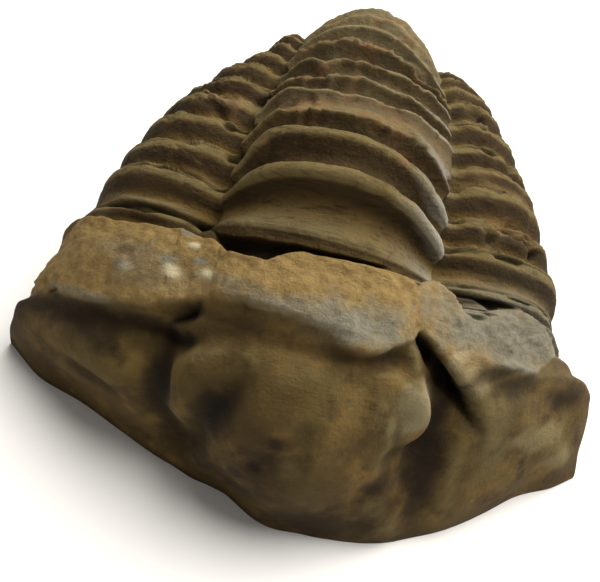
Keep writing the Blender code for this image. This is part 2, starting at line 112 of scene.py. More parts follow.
# The rings and their ribs. A crest or rib that is named by a number is counted from 0.
back = {
    "step": 3.4,             # length of one step of "ring" on the rings
    # Crests on the axis, from the left furrow to the right one: five places along the back, depth
    # of the groove in front, half height of the chips along the edge (as a share of a ring).
    "crests": [(1.0, 1.0, 1.0, 1.0, 1.0, 0.1, 0.0), (1.70, 1.98, 2.05, 2.0, 1.75, 1.0, 0.03),
               (2.3, 3.1, 3.1, 3.0, 2.6, 2.0, 0.04), (3.2, 4.05, 3.9, 4.05, 3.5, 1.8, 0.05),
               (4.4, 4.9, 4.7, 5.05, 5.2, 0.9, 0.05), (5.6, 5.7, 5.8, 5.85, 5.7, 1.4, 0.06),
               (6.5, 6.8, 6.6, 6.75, 6.5, 1.2, 0.06), (7.3, 8.0, 7.85, 7.3, 7.1, 1.8, 0.05),
               (8.6, 9.0, 9.07, 8.1, 7.8, 1.4, 0.05), (9.6, 9.8, 9.95, 9.3, 8.9, 0.7, 0.04),
               (10.6, 10.8, 10.9, 10.6, 10.3, 0.6, 0.03), (11.7, 11.9, 12.0, 11.8, 11.6, 0.7, 0.03),
               (12.8, 13.0, 13.0, 13.0, 12.8, 0.8, 0.03)]
              + [(ring,) * 5 + (0.7 - 0.1 * i, 0.02 if i < 5 else 0.0) for i, ring in enumerate(tailCrests)],
    # Crests of the ribs: three places along the back on the left, from the furrow outward, the same on
    # the right, and the share of the depth of the groove in front on the left and on the right.
    "ribs": [(1.0, 1.0, 1.0, 1.0, 0.97, 0.9, 1.0, 1.0), (2.05, 2.1, 2.1, 2.0, 1.88, 1.82, 1.0, 1.0),
             (3.05, 3.0, 3.0, 2.78, 2.85, 2.9, 1.0, 1.0), (4.0, 4.03, 4.1, 3.72, 3.92, 3.75, 1.0, 1.0),
             (5.0, 5.0, 5.0, 4.45, 4.6, 4.6, 1.0, 0.4), (6.0, 5.88, 5.88, 5.4, 5.45, 5.15, 1.0, 1.0),
             (7.0, 7.0, 7.0, 6.5, 6.62, 6.4, 1.0, 1.0), (8.0, 8.0, 8.0, 7.7, 8.0, 7.9, 1.0, 1.0),
             (9.0, 9.0, 9.0, 8.8, 9.05, 9.05, 1.0, 1.0), (10.0, 10.0, 10.0, 9.9, 10.0, 10.0, 1.0, 1.0)]
            + [(ring,) * 6 + (1.0, 1.0) for ring in (11.0, 12.0, 13.0, *tailCrests)],
    # where an edge is broken away: crest, across, half width, shift forward
    "notches": [(6, -3.9, 1.0, 0.35), (5, -3.2, 0.5, 0.12), (4, -4.4, 0.7, 0.12), (4, 5.0, 1.0, -0.12),
                (3, 4.6, 0.9, -0.06), (3, 5.8, 0.6, 0.06), (2, 3.6, 0.6, -0.06), (5, 2.6, 0.9, 0.10)],
    # the groove in front of a crest on the axis, and where its steep face ends, up to which shade is painted:
    # by crest
    "faces": {1: (stepGroove, 0.72), 2: (axisGroove, 0.82)}, "thinFace": (thinGroove, 0.90),
    # ring, depth of the groove between two ribs
    "grooves": [(1.0, 0.5), (2.0, 1.1), (3.0, 1.25), (5.0, 1.2), (9.0, 1.1), (13.0, 0.7), (17.0, 0.2)],
    "furrowDepth": 0.4, "furrowWidth": 0.03,
    "pitDepth": 1.2, "pitWidth": 0.022, "pitLength": 0.07,
    "slitDepth": 0.45, "slitPlace": 0.07, "slitWidth": 0.05,
    "scale": 0.16,           # thickness of the scales that have come off
    "shoulder": 0.3, "hollowFlank": 0.35,    # the left side of the axis is nearly straight
    "peeled": (4, (-6.5, -4.5), 0.35),   # crest without its shell: crest, from where across, depth left
    "ragged": 7,             # crest with a ragged ochre edge
    "openRib": 4,            # rib with a shallow open groove in front of it on the right
    "grain": [(0.12, 0.8), (0.06, 0.4)],     # height and size of the roughness of the shell
    # upper edge of the rock that fills the neck: across, ring
    "neckEdge": [
        (-24.0, 0.1), (-16.0, 0.15), (-10.0, 0.2), (-8.4, 0.1), (-7.0, -0.25), (-4.0, -0.3), (-3.0, -0.05),
        (-2.0, 0.12), (0.0, 0.18), (3.0, 0.25), (6.0, 0.42), (9.0, 0.75), (10.8, 0.4), (12.4, -0.35),
        (13.7, -0.25), (15.3, 0.3), (17.3, 0.55), (19.5, -0.05), (21.9, -0.6), (24.0, -0.8)],
    # lower edge of the first ring over the open slot: across, ring
    "slotLip": [
        (-9.0, 0.6), (-7.0, 0.42), (-4.0, 0.34), (-3.0, 0.36), (-2.0, 0.38), (0.0, 0.36), (3.0, 0.42),
        (6.0, 0.58)],
    "slotEnds": ((-9.0, -8.2), (5.2, 3.2)), "slotDepth": 1.2,
    "plate": 0.35,           # rise of the low first ring
    # furrows (depth above 0) and thin ridges (below 0): across, ring, half width, depth
    "lines": [
        [(9.6, 0.85, 0.3, 0.8), (11.3, 0.8, 0.3, 0.9), (13.3, 0.7, 0.3, 0.8), (14.9, 0.5, 0.4, 1.0),
         (16.4, 0.3, 0.4, 1.0), (17.9, 0.0, 0.4, 0.7)],
        [(-14.2, 5.2, 0.25, -0.25), (-13.0, 4.93, 0.25, -0.3), (-12.0, 4.75, 0.25, -0.3),
         (-11.1, 4.57, 0.3, -0.35), (-10.7, 4.8, 0.25, -0.3), (-10.3, 5.0, 0.25, -0.25),
         (-9.5, 5.2, 0.25, -0.2)],
        [(-14.0, 4.75, 0.4, 0.2), (-12.6, 4.62, 0.4, 0.25), (-11.7, 4.45, 0.4, 0.25),
         (-10.9, 4.25, 0.3, 0.2)],
        # the open gap beside the eighth ring, and broken edges near it
        [(4.2, 7.9, 0.3, 0.8), (5.2, 7.68, 0.5, 2.2), (6.2, 7.52, 0.5, 2.4), (7.0, 7.45, 0.35, 1.4)],
        [(4.0, 8.2, 0.22, -0.3), (5.2, 8.1, 0.22, -0.4), (6.2, 7.92, 0.22, -0.4), (7.2, 7.75, 0.2, -0.3)],
        [(4.4, 4.2, 0.3, -0.3), (5.2, 4.1, 0.3, -0.4), (6.2, 3.95, 0.3, -0.4), (6.7, 4.15, 0.25, -0.2)],
        [(4.8, 3.75, 0.4, 0.4), (5.6, 3.6, 0.4, 0.5), (6.4, 3.6, 0.3, 0.3)],
        # the crest of the first ring
        [(-9.3, 0.92, 0.5, -0.15), (-8.0, 1.02, 0.6, -0.3), (-6.4, 1.06, 0.6, -0.35),
         (-0.8, 1.08, 0.6, -0.3), (5.8, 1.1, 0.6, -0.2)],
        [(-7.5, 1.42, 0.6, 0.2), (0.0, 1.45, 0.7, 0.25), (6.0, 1.45, 0.6, 0.15)],
        # thin furrows between the last rings
        [(-5.0, 9.3, 0.2, 0.15), (0.0, 9.45, 0.25, 0.3), (4.5, 9.0, 0.2, 0.15)],
        [(-5.0, 9.5, 0.2, 0.15), (0.0, 9.7, 0.25, 0.3), (4.5, 9.25, 0.2, 0.15)],
        [(-4.6, 10.1, 0.2, 0.15), (0.0, 10.3, 0.25, 0.3), (4.2, 9.9, 0.2, 0.15)],
        # loose lips and slits of the first two ribs
        [(-18.7, 1.05, 0.3, 0.5), (-17.0, 0.98, 0.35, 0.7), (-15.5, 0.92, 0.35, 0.8),
         (-14.1, 1.02, 0.25, 0.5), (-12.4, 1.05, 0.2, 0.4), (-10.6, 1.03, 0.3, 0.6),
         (-9.3, 0.95, 0.35, 1.0)],
        [(-19.8, 1.42, 0.3, -0.2), (-17.9, 1.28, 0.3, -0.35), (-15.5, 1.22, 0.3, -0.35),
         (-13.0, 1.25, 0.3, -0.3), (-11.2, 1.25, 0.25, -0.2)],
        [(-18.1, 2.4, 0.25, -0.3), (-17.0, 2.38, 0.25, -0.4), (-15.9, 2.28, 0.25, -0.3),
         (-14.6, 2.2, 0.2, -0.2)],
        [(13.5, 0.72, 0.3, 0.6), (14.7, 0.6, 0.35, 0.9), (16.6, 0.45, 0.3, 0.6)],
        # gaps at the outer end of the right ribs, and the broken outer half of the third one
        [(10.6, 7.7, 0.25, 0.7), (11.4, 7.7, 0.3, 0.9), (12.2, 7.72, 0.3, 1.0), (12.6, 7.5, 0.35, 1.3),
         (13.0, 7.25, 0.3, 0.9)],
        [(15.2, 5.55, 0.3, 1.0), (15.5, 5.35, 0.35, 1.2), (15.9, 5.15, 0.3, 0.8)],
        [(13.0, 2.75, 0.3, 0.4), (13.7, 2.5, 0.35, 0.7), (14.3, 2.3, 0.3, 0.4)],
        [(13.7, 2.97, 0.3, 0.5), (14.9, 2.9, 0.35, 0.8), (16.3, 2.8, 0.35, 0.8), (17.4, 2.6, 0.3, 0.5)],
        [(13.9, 2.3, 0.3, -0.3), (15.1, 2.5, 0.35, -0.5), (16.4, 2.52, 0.35, -0.5),
         (17.4, 2.45, 0.3, -0.3)],
        [(18.0, 2.7, 0.3, 0.9), (18.4, 2.45, 0.3, 1.1)],
    ],
    # thin slits behind the crest of a rib, each with a raised lip behind it: across, ring
    "slits": [
        [(-15.8, 2.2), (-15.2, 2.17)], [(-13.3, 2.28), (-11.3, 2.24), (-9.6, 2.18)],
        [(-15.4, 3.12), (-14.3, 3.13), (-13.1, 3.08)], [(-14.7, 4.15), (-13.9, 4.15), (-13.0, 4.14)],
        [(-11.2, 4.1), (-10.7, 4.06), (-10.2, 4.0)], [(-10.6, 6.05), (-9.4, 6.1), (-8.6, 6.07)],
        [(-8.8, 8.2), (-8.0, 8.14), (-7.4, 8.1)],
        [(9.8, 1.98), (11.0, 2.0), (12.5, 1.96)], [(14.4, 1.93), (15.5, 1.88), (16.7, 1.86)],
        [(9.6, 2.86), (10.7, 2.92)], [(9.5, 3.82), (10.3, 3.9)], [(11.0, 3.98), (12.7, 4.02), (14.2, 3.92)],
        [(12.2, 5.5), (12.9, 5.5), (13.5, 5.44)], [(10.1, 6.58), (11.3, 6.62), (12.6, 6.66)],
    ],
    # half width, depth; further back, half width, height
    "slitCut": (0.28, 0.6), "slitRim": (0.12, 0.25, -0.22),
    # small deep pits: across, ring
    "pits": [(-9.5, 3.05), (-9.3, 4.05), (-10.7, 3.95), (-8.1, 6.75), (-8.4, 5.55), (10.0, 3.85),
             (10.0, 2.95), (10.1, 1.95), (12.9, 5.45), (11.6, 7.55), (12.8, 7.2), (13.7, 6.8), (15.3, 5.45),
             (18.4, 2.55), (17.6, 2.75)],
    "pitCut": (0.2, 0.28, 1.1),    # half length, half width, depth
    # places where the shell has flaked off: across, ring, radius across, radius along, depth
    "flakes": [(-5.2, 4.2, 1.8, 0.33, 0.35), (-4.2, 5.9, 1.3, 0.40, 0.30), (-11.6, 5.0, 1.9, 0.30, 0.25),
               (4.9, 3.3, 1.5, 0.22, 0.25), (16.2, 2.9, 2.6, 0.40, 0.45), (5.8, 7.6, 1.8, 0.35, 0.30)],
}

head = {
    "step": 4.6,             # length of one step of "ring" on the head
    "wear": 14, "wornTo": -0.8,              # rounds of wear, and how far back it reaches
    "furrowFill": 0.5,       # rock that fills the furrows beside the axis
    "bend": (3.0, 0.6, 0.12),    # furrows wander: size of the bends, across, ring
    "rockGrain": [(0.30, 2.6), (0.16, 0.8)], "shellGrain": (0.16, 2.2),    # height, size
    # swellings and hollows: across, ring, radius across, radius along, height
    "lobes": [
        (-0.5, -3.5, 4.6, 1.1, 0.9),
        (3.0, -4.6, 4.0, 0.8, 0.6),
        (-7.2, -3.6, 2.0, 0.70, 1.3),
        (9.0, -3.3, 2.3, 0.75, 1.3),
        (7.3, -4.5, 1.3, 0.25, 0.4),
        (-14.6, -4.2, 2.6, 0.35, 0.4),
        (-14.3, -3.9, 3.4, 0.60, 0.8),
        (-24.0, -3.3, 2.2, 0.6, 0.4),
        (19.5, -4.9, 5.0, 0.7, 0.5),
        (0.9, -4.1, 0.45, 0.10, -0.9),
        (-1.4, -4.25, 1.2, 0.30, -0.5),
        (2.0, -3.7, 0.9, 0.16, -0.4),
    ],
    # furrows (depth above 0) and ridges (below 0): across, ring, half width, depth
    "lines": [
        # the left side of the glabella
        [(-10.9, -2.58, 0.25, 0.9), (-9.9, -2.27, 0.42, 2.4), (-9.1, -1.92, 0.36, 2.4),
         (-8.1, -1.55, 0.18, 0.8)],
        [(-9.8, -2.42, 0.5, -0.2), (-8.6, -2.05, 0.5, -0.4), (-7.5, -1.75, 0.6, -0.3),
         (-6.0, -1.65, 0.6, -0.2), (-4.0, -1.65, 0.6, -0.2), (-1.0, -1.75, 0.6, -0.1)],
        [(-12.4, -2.9, 0.9, 0.5), (-11.0, -2.87, 0.9, 1.4), (-9.6, -2.8, 0.7, 1.3),
         (-8.4, -2.62, 0.5, 0.8)],
        [(-11.2, -2.9, 1.2, 1.0), (-10.9, -3.3, 1.3, 1.3), (-10.6, -3.8, 1.3, 1.5), (-10.1, -4.4, 1.2, 1.4),
         (-9.4, -5.05, 1.2, 1.2), (-8.4, -5.55, 1.1, 1.0), (-7.6, -5.9, 0.9, 0.5)],
        [(-9.0, -2.75, 0.5, 0.5), (-8.0, -2.5, 0.55, 0.6), (-6.6, -2.25, 0.7, 0.6), (-3.2, -2.15, 0.8, 0.5),
         (0.2, -2.2, 0.9, 0.5), (3.7, -2.3, 0.9, 0.6), (6.7, -2.2, 0.7, 0.7), (7.9, -2.1, 0.5, 0.7)],
        [(-2.6, -2.7, 0.9, 0.3), (-3.4, -2.95, 1.2, 0.9), (-4.5, -3.35, 1.3, 1.3), (-5.3, -3.7, 1.3, 1.5),
         (-6.0, -4.05, 1.3, 1.5), (-6.8, -4.5, 1.2, 1.4), (-7.7, -5.2, 1.0, 1.1)],
        [(-8.8, -4.6, 0.6, -0.4), (-9.2, -3.9, 0.6, -0.5), (-8.9, -3.25, 0.6, -0.6),
         (-7.5, -2.8, 0.6, -0.5), (-5.6, -2.6, 0.7, -0.3)],
        # the right side of the glabella
        [(11.4, -2.75, 1.0, 0.8), (12.1, -3.15, 1.2, 1.0), (12.4, -3.6, 1.4, 1.0), (12.0, -4.1, 1.5, 1.1),
         (11.8, -4.5, 1.5, 1.1), (11.9, -4.9, 1.4, 0.9), (12.7, -5.4, 1.3, 0.7), (13.8, -6.0, 1.3, 0.5)],
        [(7.6, -1.6, 0.5, -0.7), (8.3, -1.95, 0.55, -1.4), (9.0, -2.35, 0.5, -0.9)],
        [(6.9, -1.9, 0.4, 0.4), (7.5, -2.2, 0.45, 0.7), (8.3, -2.6, 0.4, 0.5)],
        [(6.8, -2.9, 0.6, 0.3), (7.7, -3.15, 0.8, 0.8), (8.3, -3.4, 0.8, 0.9), (8.6, -3.7, 0.7, 0.5)],
        [(8.4, -4.1, 0.7, 0.8), (9.7, -4.2, 0.8, 1.1), (11.0, -4.25, 0.8, 0.9)],
        [(7.1, -4.6, 0.6, 0.5), (8.0, -4.75, 0.7, 0.9), (8.9, -4.9, 0.6, 0.6)],
        [(5.9, -2.5, 0.5, -0.2), (6.6, -2.85, 0.5, -0.4), (7.1, -3.25, 0.5, -0.5), (7.7, -3.55, 0.5, -0.5),
         (8.2, -3.8, 0.5, -0.6), (8.2, -4.1, 0.5, -0.4), (8.0, -4.4, 0.5, -0.3)],
        [(6.0, -2.5, 0.6, -0.3), (7.2, -2.5, 0.6, -0.7), (8.5, -2.7, 0.65, -1.0), (9.7, -3.0, 0.7, -1.1),
         (10.5, -3.45, 0.7, -1.1), (10.7, -3.85, 0.7, -0.9), (10.2, -4.15, 0.6, -0.5)],
        [(9.8, -2.0, 0.6, 0.4), (10.8, -2.45, 0.7, 0.7), (11.8, -2.8, 0.8, 0.7)],
        [(8.8, -5.1, 0.8, -0.5), (10.4, -5.55, 0.8, -0.7), (11.7, -5.9, 0.8, -0.5)],
        [(15.0, -3.9, 0.8, -0.4), (15.0, -4.55, 0.8, -0.5), (14.9, -5.25, 0.8, -0.5),
         (16.0, -5.85, 0.8, -0.3)],
        [(12.6, -1.7, 1.6, -0.4), (14.2, -2.3, 2.2, -0.7), (16.0, -2.95, 2.4, -0.7),
         (17.6, -3.7, 2.4, -0.4)],
        # the cheeks
        [(-25.0, -3.95, 1.6, 0.3), (-20.2, -3.45, 1.8, 0.8), (-17.3, -3.1, 1.8, 0.9),
         (-14.7, -2.85, 1.8, 0.9), (-12.4, -2.65, 1.5, 0.7)],
        [(-20.5, -4.5, 0.5, 0.4), (-17.9, -4.65, 0.6, 0.7), (-16.1, -4.65, 0.6, 0.7),
         (-14.6, -4.8, 0.6, 0.6), (-13.3, -5.0, 0.5, 0.3)],
        [(15.2, -2.65, 0.8, 0.5), (16.6, -2.9, 1.2, 0.9), (18.2, -3.05, 1.3, 0.9), (19.8, -3.25, 1.0, 0.5)],
        [(22.7, -3.5, 0.9, 0.5), (24.0, -3.8, 1.0, 0.9), (25.5, -3.95, 0.8, 0.6)],
        [(19.4, -3.7, 0.8, -0.3), (20.9, -4.15, 0.9, -0.6), (22.6, -4.5, 0.9, -0.7),
         (24.6, -5.0, 0.9, -0.6), (26.2, -5.45, 0.9, -0.3)],
        [(13.1, -1.95, 0.5, -0.2), (16.5, -2.4, 0.6, -0.4), (19.9, -2.6, 0.7, -0.4),
         (22.8, -2.6, 0.8, -0.3), (25.9, -2.9, 1.0, -0.4), (27.0, -3.2, 1.0, -0.3)],
        # pits in the pale rock
        [(12.6, -0.3, 0.35, 0.6), (13.5, -0.6, 0.4, 0.7)],
        [(13.6, -0.15, 0.35, 0.6), (14.3, -0.25, 0.3, 0.5)],
        [(-22.7, -2.95, 0.3, 0.6), (-21.1, -2.65, 0.3, 0.6)],
    ],
    # the sharp gash in the right cheek and the ridge along it, cut after the head has been worn smooth
    "gash": [
        [(8.3, -1.4, 0.2, 0.7), (9.3, -1.72, 0.3, 1.6), (10.4, -2.08, 0.38, 2.2), (11.5, -2.44, 0.42, 2.6),
         (12.6, -2.8, 0.45, 2.6), (13.6, -3.16, 0.45, 2.2), (14.6, -3.56, 0.4, 1.4),
         (15.5, -3.94, 0.3, 0.6)],
        [(9.9, -1.6, 0.8, -0.2), (11.1, -1.95, 0.9, -0.7), (12.2, -2.3, 1.0, -1.1),
         (13.3, -2.64, 1.1, -1.1), (14.4, -3.0, 1.2, -1.0), (15.5, -3.42, 1.3, -0.8),
         (16.5, -3.9, 1.4, -0.6), (17.4, -4.4, 1.5, -0.4)],
    ],
    # lower edge of the ochre rock on the neck: across, ring
    "browEdge": [
        (-26.0, -3.1), (-22.8, -2.9), (-21.2, -2.7), (-20.0, -2.8), (-17.9, -2.7), (-15.0, -2.35),
        (-12.1, -2.1), (-10.7, -1.9), (-8.5, -1.55), (-7.3, -1.42), (-5.6, -1.32), (-2.0, -1.35),
        (1.6, -1.55), (2.9, -1.95), (4.3, -2.1), (5.4, -2.05), (6.2, -1.85), (7.8, -1.55), (8.5, -1.33),
        (9.6, -1.62), (10.7, -1.9), (11.8, -2.1), (12.9, -2.2), (13.7, -2.25), (14.6, -2.2), (15.4, -2.15),
        (16.2, -2.3), (17.9, -2.6), (19.8, -2.5), (20.9, -2.15), (21.7, -1.75), (25.0, -1.2)],
    # its height above the head: across, height
    "browHeight": [
        (-26.0, -0.8), (-22.0, -0.5), (-19.0, 0.3), (-15.0, 0.9), (-8.0, 1.1), (0.0, 1.2), (6.0, 1.1),
        (9.0, 0.9), (11.5, 0.25), (14.5, 0.2), (16.0, 0.45), (18.0, 0.5), (21.0, -0.2), (24.0, -1.0)],
}

# Patches of colour, as across, ring, radius across, radius along and strength.
patches = {
    "pale": [
        (17.5, -1.1, 9.0, 2.2, 1.0), (3.2, -1.4, 4.6, 0.52, 1.0), (-2.0, -1.2, 4.5, 0.18, 0.8),
        (10.4, -0.5, 1.5, 0.9, 0.7), (15.2, -1.2, 4.4, 0.75, 0.9), (19.5, -1.8, 2.0, 0.35, 0.8),
        (-15.3, -1.3, 0.8, 0.15, 1.0), (-11.7, -0.9, 0.8, 0.14, 1.0), (-10.4, 0.05, 0.7, 0.16, 1.0),
        (-8.8, -0.7, 0.6, 0.12, 1.0), (-17.8, -2.5, 4.5, 0.18, 0.7), (-12.5, -1.35, 3.5, 0.40, 0.30),
        (13.5, -1.0, 0.5, 0.12, 1.0), (-6.5, -1.0, 3.0, 0.12, 0.5), (-14.5, -0.9, 3.5, 0.35, 0.35)],
    "olive": [
        (-14.3, -3.9, 4.0, 0.75, 0.9), (-2.0, -2.9, 3.5, 0.5, 0.5), (3.0, -3.3, 3.0, 0.9, 0.6),
        (-8.0, -3.2, 1.6, 0.5, 0.6), (16.0, -5.5, 2.0, 0.5, 0.6), (9.0, -5.6, 1.5, 0.35, 0.9),
        (24.0, -4.6, 2.6, 0.5, 0.8), (13.5, -2.4, 1.2, 0.6, 0.7), (2.5, -4.6, 2.5, 0.4, 0.4),
        (20.5, -5.2, 5.0, 0.4, 0.4)],
    # painted shade below the rock's edge, in the furrows and on the lower front of the head, and a few dark
    # stains on the glabella and the rock
    "paintedShadeAndStain": [
        (0.5, -4.6, 3.5, 0.4, 0.35), (-5.5, -3.9, 1.6, 0.45, 0.8), (-17.5, -0.8, 7.0, 1.2, 0.10),
        (-26.0, -3.6, 2.5, 1.2, 0.5), (-1.5, -4.9, 3.0, 0.35, 0.4), (-23.5, -3.3, 3.5, 0.6, 0.8),
        (-17.5, -3.0, 4.5, 0.3, 0.7), (-13.0, -2.75, 2.5, 0.25, 0.7), (-5.0, -1.85, 5.0, 0.18, 0.5),
        (1.5, -2.15, 4.0, 0.18, 0.5), (-9.4, -5.0, 1.1, 0.6, 0.5), (-7.0, -3.4, 1.2, 0.4, 0.3),
        (-0.6, -4.25, 1.0, 0.25, 0.8), (-1.6, -4.6, 1.0, 0.15, 0.7), (0.5, -3.9, 0.8, 0.15, 0.6),
        (15.4, -2.55, 2.0, 0.25, 0.6), (24.4, -3.5, 2.2, 0.4, 0.5), (-15.4, -0.85, 1.0, 0.15, 0.3),
        (-12.3, -1.35, 1.4, 0.15, 0.3), (-17.4, -1.5, 1.5, 0.15, 0.25), (-7.1, -0.45, 1.5, 0.12, 0.3),
        (-20.0, -3.3, 7.0, 0.55, 0.8), (5.0, -5.7, 5.5, 0.55, 0.8), (-1.0, -4.4, 2.0, 0.45, 0.7),
        (12.3, -4.2, 1.6, 1.6, 0.9), (-3.0, -5.3, 5.0, 0.5, 0.7), (17.8, -3.0, 2.6, 0.35, 0.4),
        (24.0, -3.7, 1.6, 0.3, 0.35), (-10.5, -4.0, 1.2, 1.1, 0.65), (-17.0, -4.8, 3.5, 0.25, 0.6),
        (-10.0, -2.8, 1.6, 0.28, 0.9), (2.0, -3.7, 1.2, 0.22, 0.5), (-1.3, -4.5, 0.9, 0.16, 1.0),
        (-0.2, -3.95, 0.7, 0.16, 0.9), (8.5, -4.7, 1.0, 0.20, 0.6), (-2.7, -4.85, 1.0, 0.16, 0.8),
        (12.6, -3.4, 0.9, 0.50, 0.5)],
    # painted highlights on the lit ridge beside the gash and on the right cheek, and the cream calcite spots
    # on the rock
    "bright": [
        (9.6, -3.1, 1.6, 0.5, 0.3), (11.9, -2.0, 1.0, 0.28, 0.25), (13.2, -2.4, 1.1, 0.30, 0.22),
        (14.5, -2.85, 1.2, 0.30, 0.15), (-14.8, -1.3, 0.5, 0.10, 0.5), (-11.1, -1.12, 0.7, 0.13, 0.9),
        (-9.6, -0.3, 0.55, 0.13, 0.9), (-8.1, -0.92, 0.7, 0.10, 0.9), (22.0, -4.4, 2.2, 0.25, 0.12),
        (24.7, -5.0, 1.5, 0.25, 0.10)],
    # painted highlights on places of the head that face the lamp
    "worn": [
        (18.2, -3.6, 1.4, 0.40, 0.4), (22.0, -4.4, 2.6, 0.30, 1.0), (24.7, -5.0, 1.8, 0.30, 1.0),
        (17.8, -4.6, 1.2, 0.60, 0.8), (-1.5, -2.6, 3.5, 0.35, 0.7), (3.6, -3.1, 2.0, 0.50, 0.8),
        (8.5, -3.1, 2.2, 0.60, 0.9), (13.8, -2.6, 2.4, 0.40, 1.0), (15.8, -3.4, 1.4, 0.50, 1.0),
        (16.8, -4.2, 1.0, 0.50, 0.6), (1.2, -4.35, 0.9, 0.16, 0.7), (9.0, -3.75, 1.0, 0.30, 0.6)],
    "chip": [
        (-10.9, 4.62, 0.7, 0.14, 1.0), (4.9, 3.3, 1.3, 0.14, 0.9), (-5.3, 4.3, 1.5, 0.22, 1.0),
        (4.8, 3.7, 0.7, 0.14, 1.0), (4.6, 3.0, 0.7, 0.12, 0.8), (-4.6, 6.25, 1.2, 0.2, 1.0),
        (4.5, 6.1, 1.2, 0.15, 0.9), (-3.5, 6.6, 0.8, 0.12, 0.8)],
}


def smoothstep(low, high, value):
    s = min(max((value - low) / (high - low), 0.0), 1.0)
    return s * s * (3.0 - 2.0 * s)


def mix(a, b, s):
    return a + (b - a) * s


def along(points, x, field=1):
    # a value read off a list of points, with straight lines between them
    if x <= points[0][0]:
        return points[0][field]
    for low, high in zip(points, points[1:]):
        if x <= high[0]:
            return mix(low[field], high[field], (x - low[0]) / (high[0] - low[0]))
    return points[-1][field]


def tangent(i, field):
    table = body["sections"]

    def step(j):
        return (table[j + 1][field] - table[j][field]) / (table[j + 1][0] - table[j][0])

    if i == 0:
        return step(0)
    if i == len(table) - 1:
        return step(i - 1)
    before, after = step(i - 1), step(i)
    return 0.0 if before * after <= 0.0 else 2.0 * before * after / (before + after)


def section(ring):
    # the section at one place along the back, and the slope of its furrow line
    table = body["sections"]
    i = 0
    while i < len(table) - 2 and ring > table[i + 1][0]:
        i += 1
    span = table[i + 1][0] - table[i][0]
    s = min(max((ring - table[i][0]) / span, 0.0), 1.0)
    values, slopes = [], []
    for field in range(1, 8):
        start, end = table[i][field], table[i + 1][field]
        m0, m1 = tangent(i, field) * span, tangent(i + 1, field) * span
        values.append((2 * s**3 - 3 * s**2 + 1) * start + (s**3 - 2 * s**2 + s) * m0
                      + (3 * s**2 - 2 * s**3) * end + (s**3 - s**2) * m1)
        slopes.append((6 * s**2 - 6 * s) * (start - end) + (3 * s**2 - 4 * s + 1) * m0
                      + (3 * s**2 - 2 * s) * m1)
    pitch = math.atan2(slopes[1], slopes[0])
    if 1.0 < ring < 2.0:
        # the axis doesn't lean out over the low first ring
        pitch = mix(section(1.0)[1], section(2.0)[1], ring - 1.0)
    return values, pitch


def smoothForm(ring, across, values, pitch):
    backward, up, halfWidth, axisHalf, axisRise, sweep, drop = values
    inside = min(max(ring, body["headRim"]), body["tailTip"])
    side = math.copysign(1.0, across)
    if side > 0:
        axisHalf += body["rightWider"] * smoothstep(1.0, 2.0, inside) * smoothstep(9.0, 6.0, inside)
    t = min(abs(across), 1.0)
    axisAcross = body["axisAcross"]
    if t <= axisAcross:
        angle = t / axisAcross * math.pi / 2
        power = body["archPower"][0 if side < 0 else 1]
        power = mix(power, body["rearPower"], smoothstep(2.0, body["lastRing"], inside))
        rise = axisRise * max(math.cos(angle), 0.0) ** power
        x = side * axisHalf * math.sin(angle)
        y = backward - math.sin(pitch) * rise
        z = up + math.cos(pitch) * rise
    else:
        angle = (t - axisAcross) / (1.0 - axisAcross) * math.pi / 2
        power = 2 / body["flankPower"]
        x = side * (axisHalf + (halfWidth - axisHalf) * math.sin(angle) ** power)
        y = backward
        z = up - drop * (1.0 - max(math.cos(angle), 0.0) ** power)
    x += side * along(body["edgeShift"], inside, 1 if side < 0 else 2) * smoothstep(axisAcross, 0.8, t)
    y += sweep * (x / halfWidth) ** 2
    atRim = smoothstep(-3.5, -6.0, inside)
    y += x * mix(body["browSkew"], body["rimSkew"], atRim) * smoothstep(1.0, -2.0, inside)
    for bumpX, bumpWidth, forward in body["rimBumps"]:
        y -= forward * math.exp(-((x - bumpX) / bumpWidth) ** 2) * atRim
    y += along(body["rimShift"], x) * smoothstep(-4.4, -6.0, inside)
    # the wall below the edge leans in on its way to the floor
    floor = body["firstRing"][2]
    wallSide = max(abs(across) - 1.0, 0.0) / body["wallAcross"]
    wallEnd = max(body["headRim"] - ring, ring - body["tailTip"], 0.0)
    tuck = body["wallTuck"] * smoothstep(0.0, body["wallHeight"], z + floor)
    x += body["headShift"] * smoothstep(0.5, -5.0, inside)
    x += body["tailShift"] * smoothstep(4.0, 9.0, inside) - side * tuck * wallSide
    y -= math.copysign(tuck * wallEnd, ring)
    z -= (z + floor) * min(max(wallSide, wallEnd), 1.0)
    return Vector((x, y, z))


def box(points, step):
    # the part of the surface that a line can reach
    reach = 3.0 * max(p[2] for p in points)
    return (min(p[0] for p in points) - reach, max(p[0] for p in points) + reach,
            min(p[1] for p in points) - reach / step, max(p[1] for p in points) + reach / step)


def backLines():
    lines = list(back["lines"])
    halfLength, *cut = back["pitCut"]
    lines += [[(x - halfLength, ring, *cut), (x + halfLength, ring, *cut)] for x, ring in back["pits"]]
    further, halfWidth, height = back["slitRim"]
    for slit in back["slits"]:
        lines.append([(x, ring, *back["slitCut"]) for x, ring in slit])
        lines.append([(x, ring + further, halfWidth, height) for x, ring in slit])
    return lines


def boxed(lines, step):
    return [(points, box(points, step)) for points in lines]


